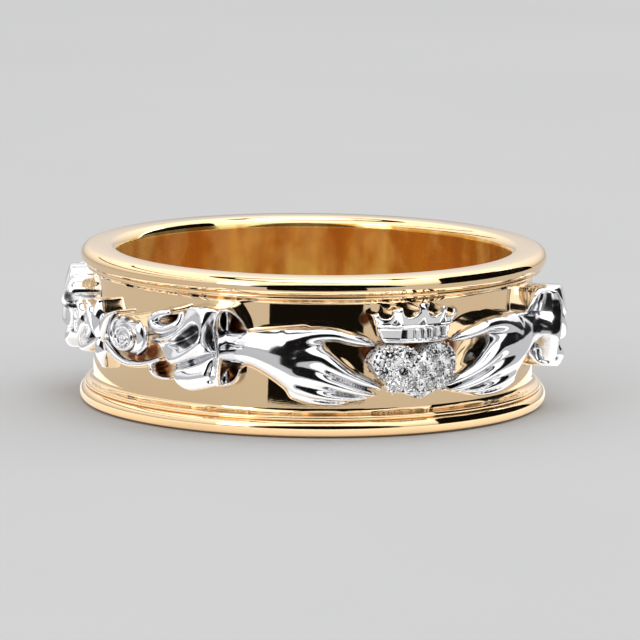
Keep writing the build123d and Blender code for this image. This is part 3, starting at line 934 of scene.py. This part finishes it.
for seat in front_seats + heart_seats("back"):
    mesh = mesh_of(*brilliant(seat.half_width), "brilliant_" + seat.stone)
    mesh.transform(aimed(seat.table, seat.out, front="Z"))
    stone = in_the_scene(mesh.name, mesh, clear_stone)
    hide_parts(seat.stone)
    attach(stone, "root")


# Grains: beads of white gold raised with a graver between the stones, and pushed over their
# girdles to hold them.
def grain_tree():
    """Rings of beads, one ring round each seat point, and its inputs' identifiers."""
    tree = bpy.data.node_groups.new("grains_round_seats", "GeometryNodeTree")
    face = tree.interface
    face.new_socket("Geometry", in_out="INPUT", socket_type="NodeSocketGeometry")
    sizes = {}
    for name, kind in (
        ("Grains to a seat", "NodeSocketInt"),
        ("Grain radius", "NodeSocketFloat"),
        ("Finish", "NodeSocketMaterial"),
    ):
        sizes[name] = face.new_socket(name, in_out="INPUT", socket_type=kind).identifier
    face.new_socket("Geometry", in_out="OUTPUT", socket_type="NodeSocketGeometry")
    given = tree.nodes.new("NodeGroupInput")
    result = tree.nodes.new("NodeGroupOutput")

    def node(kind, settings=None, **links):
        made = tree.nodes.new(kind)
        for key, setting in (settings or {}).items():
            setattr(made, key, setting)
        for key, value in links.items():
            socket = made.inputs[key.replace("_", " ")]
            if isinstance(value, bpy.types.NodeSocket):
                tree.links.new(value, socket)
            else:
                socket.default_value = value
        return made.outputs[0]

    on_points, realize = "GeometryNodeInstanceOnPoints", "GeometryNodeRealizeInstances"
    named = "GeometryNodeInputNamedAttribute"
    way_out = node(named, {"data_type": "FLOAT_VECTOR"}, Name="way_out")
    reach = node(named, {"data_type": "FLOAT"}, Name="reach")
    ring = node("GeometryNodeMeshCircle", Vertices=given.outputs["Grains to a seat"], Radius=1.0)
    turned = node("FunctionNodeAlignRotationToVector", {"axis": "Z"}, Vector=way_out)
    seats = given.outputs["Geometry"]
    rings = node(on_points, Points=seats, Instance=ring, Rotation=turned, Scale=reach)
    spots = node(realize, Geometry=rings)
    bead = node("GeometryNodeMeshIcoSphere", Radius=given.outputs["Grain radius"], Subdivisions=2)
    beads = node(realize, Geometry=node(on_points, Points=spots, Instance=bead))
    smooth = node("GeometryNodeSetShadeSmooth", Geometry=beads)
    coated = node("GeometryNodeSetMaterial", Geometry=smooth, Material=given.outputs["Finish"])
    tree.links.new(coated, result.inputs[0])
    return tree, sizes


grains_to_a_seat = 9
grain_radius = 0.055 * metres
grain_drop = 0.10 * metres
grain_stand_off = 0.03 * metres
grains, grain_sizes = grain_tree()
for face in faces_of_ring:
    seats = heart_seats(face)
    mesh = bpy.data.meshes.new(f"seat_points_{face}")
    mesh.from_pydata([seat.table - seat.out * grain_drop for seat in seats], [], [])
    ways = mesh.attributes.new("way_out", "FLOAT_VECTOR", "POINT")
    ways.data.foreach_set("vector", [part for seat in seats for part in seat.out])
    reaches = mesh.attributes.new("reach", "FLOAT", "POINT")
    reaches.data.foreach_set("value", [seat.half_width + grain_stand_off for seat in seats])
    spots = bpy.data.objects.new(f"seat_points_{face}", mesh)
    bpy.context.scene.collection.objects.link(spots)
    maker = spots.modifiers.new("grains", "NODES")
    maker.node_group = grains
    maker[grain_sizes["Grains to a seat"]] = grains_to_a_seat
    maker[grain_sizes["Grain radius"]] = grain_radius
    maker[grain_sizes["Finish"]] = white_gold
    bpy.context.view_layer.update()
    made = spots.evaluated_get(bpy.context.evaluated_depsgraph_get())
    beads = bpy.data.objects.new(f"grains_{face}", bpy.data.meshes.new_from_object(made))
    bpy.data.objects.remove(spots)
    bpy.context.scene.collection.objects.link(beads)
    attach(beads, "root")


# Crowns: cast white gold over each heart. The front is a bowed band with sunk panels under five
# points, and the gaps between the points are rounded out.
crown_gap = 0.08
crown_foot = heart_foot + heart_height + crown_gap
crown_foot_width, crown_top_width = 3.0, 4.1
crown_height = 1.87
crown_band = 0.70
crown_bow = 2.45
crown_crest = 1.15
crown_flare = 0.20
crown_edge_softness, crown_slope_share = 0.07, 0.9
crown_depth = crown_bow - crown_crest
moulding = 0.11
panel_foot, panel_top = crown_foot + (moulding + 0.03), crown_foot + (crown_band - moulding)
panel_depth = 0.10
gusset_foot, gusset_top = crown_foot + 0.80, crown_foot + 1.06
gusset_reach, gusset_depth = 0.19, 0.22


def crown_corner(across, up):
    """A corner of the crown from its shares of the top's width and of the height."""
    return (across * crown_top_width, crown_foot + up * crown_height)


crown_right = [
    (crown_foot_width / 2, crown_foot),
    crown_corner(0.500, 0.66),
    crown_corner(0.258, 0.83),
]
crown_outline = outline(
    crown_right + [crown_corner(0, 0.93)] + [(-across, up) for across, up in reversed(crown_right)]
)
scallops = [
    (crown_corner(side * across, up), reach * crown_top_width)
    for across, up, reach in ((0.372, 0.70, 0.062), (0.138, 0.80, 0.090))
    for side in (-1, 1)
]
panels = [
    outline([(left, panel_foot), (right, panel_foot), (right, panel_top), (left, panel_top)])
    for left, right in ((-0.86, -0.26), (-0.13, 0.13), (0.22, 0.48), (0.57, 0.83), (0.92, 1.36))
]
gussets = [
    outline([(x - gusset_reach, gusset_foot), (x + gusset_reach, gusset_foot), (x, gusset_top)])
    for x in (-1.12, 0.0, 1.12)
]
bars = [
    [(-reach, crown_foot + level, rise, width), (reach, crown_foot + level, rise, width)]
    for level, reach, rise, width in ((0.05, 1.6, 0.13, 0.07), (0.70, 1.8, 0.10, 0.06))
]
swollen_points = [
    [(x * 0.86, crown_foot + 0.86, 0.04, 0.16), (x, crown_foot + top, 0.16, 0.20)]
    for x, top in ((-1.92, 1.10), (-1.04, 1.40), (0.0, 1.60), (1.04, 1.40), (1.92, 1.10))
]
crown_runs = [smooth_run(stations) for stations in bars + swollen_points]


def crown_form(x, z, h):
    """The crown's distance: the bowed plate and its mouldings, scallops, panels and gussets."""
    flare = crown_flare * (z - crown_foot - crown_band)
    bow = np.hypot(x, h + crown_depth) - crown_bow - height_over(crown_runs, x, z) - flare
    plate = crown_outline(x, z)
    for (across, up), reach in scallops:
        plate = np.maximum(plate, reach - np.hypot(x - across, z - up))
    form = carve(bow * crown_slope_share, -(plate + 0 * h), crown_edge_softness)
    sunk_panel = panel_depth + crown_flare * crown_band
    for shapes, depth in ((panels, sunk_panel), (gussets, gusset_depth)):
        sunk = -(np.hypot(x, h + crown_depth) - crown_bow + depth)
        for shape in shapes:
            form = carve(form, np.maximum(shape(x, z) + 0 * h, sunk), soft=0.04)
    return form


bright_white_gold = gold_finish(
    "bright_white_gold", colour=(0.97, 0.97, 0.975, 1), deep_colour=(0.93, 0.93, 0.94, 1),
    roughness=0.10, wear_scale=300,
)
crown_levels = (crown_foot - 0.1, crown_foot + crown_height + 0.1)
cast_two(
    "crown", crown_form, bright_white_gold, crown_top_width / 2 + 0.1, crown_levels,
    crests=(-0.45, 1.3), grain=0.039,
)


# Studio: a pale matte table in a room that is bright overhead and dim above its horizon. Soft
# panels light the ring from above and from both sides. Dark curtains, a dark patch on the table,
# the dark edge of a softbox and a white mat show only in the polish and in the stones.
table_finish = Finish(bpy.data.materials.new("pale_table"))
table_colour = table_finish.mix(
    table_finish.noise(table_finish.place(), 40), (0.37, 0.37, 0.375, 1), (0.39, 0.39, 0.39, 1)
)
table_looks = {"Base Color": table_colour, "Roughness": 0.6, "Specular IOR Level": 0.0}
table_surface = table_finish.node("ShaderNodeBsdfPrincipled", {}, table_looks)
table_reach = 1.5
table_corners = [
    (x * table_reach, y * table_reach, 0) for x, y in ((-1, -1), (1, -1), (1, 1), (-1, 1))
]
table_mesh = bpy.data.meshes.new("table")
table_mesh.from_pydata(table_corners, [], [(0, 1, 2, 3)])
table = in_the_scene("table", table_mesh, table_finish.close(table_surface))

room = Finish(bpy.data.worlds.new("room"))
upward = room.node("ShaderNodeSeparateXYZ", {}, [room.node("ShaderNodeTexCoord")], output=2)
room_greys = [(0.49, 0.25), (0.53, 0.42), (0.60, 0.62), (0.80, 1.00)]
shade_of_room = room.node(
    "ShaderNodeValToRGB",
    {"stops": [(rise, (grey, grey, grey, 1)) for rise, grey in room_greys]},
    {"Fac": (upward + 1) * 0.5},
)
glow = room.node("ShaderNodeBackground", {}, {"Color": shade_of_room, "Strength": 1.5})
room.node("ShaderNodeOutputWorld", {}, {"Surface": glow})
bpy.context.scene.world = room.owner

# Each panel of light has a place, a width, a height and a power in watts.
lit_point = Vector((0, 0, 0.003))
panels_of_light = {
    "overhead": ((0.05, -0.05, 0.42), 0.30, 0.30, 0.5),
    "left": ((-0.34, -0.16, 0.16), 0.12, 0.22, 0.20),
    "right": ((0.34, 0.02, 0.14), 0.12, 0.20, 0.20),
}
for name, (spot, width, height, power) in panels_of_light.items():
    light = bpy.data.lights.new(name + "_panel", "AREA")
    light.shape = "RECTANGLE"
    light.size, light.size_y = width, height
    light.energy = power
    panel = bpy.data.objects.new(name + "_panel", light)
    panel.matrix_world = aimed(spot, lit_point - Vector(spot))
    panel.visible_camera = False
    bpy.context.scene.collection.objects.link(panel)

# Each curtain has the turn of its middle from the camera, half its spread, its foot and its rise.
camera_turn = radians(25.5)
curtain_reach = 0.12
curtain_steps, hoop_steps = 24, 48
curtains = {
    "front": (radians(7), radians(37), 0.0005, 0.090),
    "right": (radians(96), radians(35), 0.0005, 0.155),
    "low_rail": (radians(-100), radians(52), 0.054, 0.009),
    "high_rail": (radians(-100), radians(48), 0.100, 0.010),
}
patch_reaches, patch_spreads = (0.0180, curtain_reach), (-0.41, 0.47)
patch_start, patch_level = 0.0018, 0.0003
bright_mat_reaches, bright_mat_level = (0.0101, 0.0150), 0.0001
softbox_edge_reaches, softbox_level = (0.145, 0.205), 0.41


def card_finish(name, colour):
    """The dull surface of a card or a cloth of the studio."""
    finish = Finish(bpy.data.materials.new(name))
    return finish.close(finish.node("ShaderNodeBsdfDiffuse", {}, {"Color": colour}))


dark_cloth = card_finish("dark_cloth", (0.004, 0.0035, 0.003, 1))
white_card = card_finish("white_card", (0.95, 0.95, 0.93, 1))


def facing_ring(side, reach, up):
    """A point in front of the ring as the camera looks: to one side, out from it and up."""
    away = Vector((-sin(camera_turn), -cos(camera_turn), 0))
    across = Vector((cos(camera_turn), -sin(camera_turn), 0))
    return away * reach + across * side + Vector((0, 0, up))


def shown_in_polish_only(name, pairs, material=dark_cloth):
    """A card or cloth through pairs of points, which only the polish and the stones show."""
    strips = [(k, k + 1, k + 3, k + 2) for k in range(0, 2 * len(pairs) - 2, 2)]
    mesh = bpy.data.meshes.new(name)
    mesh.from_pydata([point for pair in pairs for point in pair], [], strips)
    card = in_the_scene(name, mesh, material)
    for sight in ("camera", "diffuse", "shadow"):
        setattr(card, "visible_" + sight, False)


patch = [
    [
        facing_ring(spread * reach - patch_start * np.sign(spread), reach, patch_level)
        for spread in patch_spreads
    ]
    for reach in patch_reaches
]
shown_in_polish_only("dark_patch", patch)
for name, (middle, spread, foot, rise) in curtains.items():
    curtain = []
    for step in range(curtain_steps + 1):
        share = 2 * step / curtain_steps - 1
        side = curtain_reach * sin(middle + spread * share)
        reach = curtain_reach * cos(middle + spread * share)
        top = foot + 0.0001 + rise * cos(share * pi / 2) ** 0.6
        curtain.append([facing_ring(side, reach, level) for level in (foot, top)])
    shown_in_polish_only(name + "_curtain", curtain)
for name, reaches, level, material in (
    ("bright_mat", bright_mat_reaches, bright_mat_level, white_card),
    ("softbox_edge", softbox_edge_reaches, softbox_level, dark_cloth),
):
    angles = [pi * (2 * step / hoop_steps - 1) for step in range(hoop_steps + 1)]
    hoop = [
        [facing_ring(reach * sin(angle), reach * cos(angle), level) for reach in reaches]
        for angle in angles
    ]
    shown_in_polish_only(name, hoop, material)
bpy.context.scene.view_settings.view_transform = "Standard"


# Camera: it stands to the left of the front heart, as far off as the photograph's perspective
# asks, a little above the table and slightly rolled, with no depth of field.
camera_rise = radians(9.0)
camera_roll = radians(0.6)
camera_reach = 0.290
picture_side = 640
pixels_to_the_radian = 6554
aim = Vector((0, 0, 0.0035))
aim_in_picture = (313.2, 320.7)
direction = Vector(
    (-sin(camera_turn) * cos(camera_rise), -cos(camera_turn) * cos(camera_rise), sin(camera_rise))
)
lens = bpy.data.cameras.new("camera")
lens.sensor_width = 36
lens.lens = lens.sensor_width * pixels_to_the_radian / picture_side
lens.shift_x = (picture_side / 2 - aim_in_picture[0]) / picture_side
lens.shift_y = (aim_in_picture[1] - picture_side / 2) / picture_side
lens.clip_start = 0.01
camera = bpy.data.objects.new("camera", lens)
roll = Matrix.Rotation(camera_roll, 4, "Z")
camera.matrix_world = aimed(aim + direction * camera_reach, -direction) @ roll
bpy.context.scene.collection.objects.link(camera)
bpy.context.scene.camera = camera
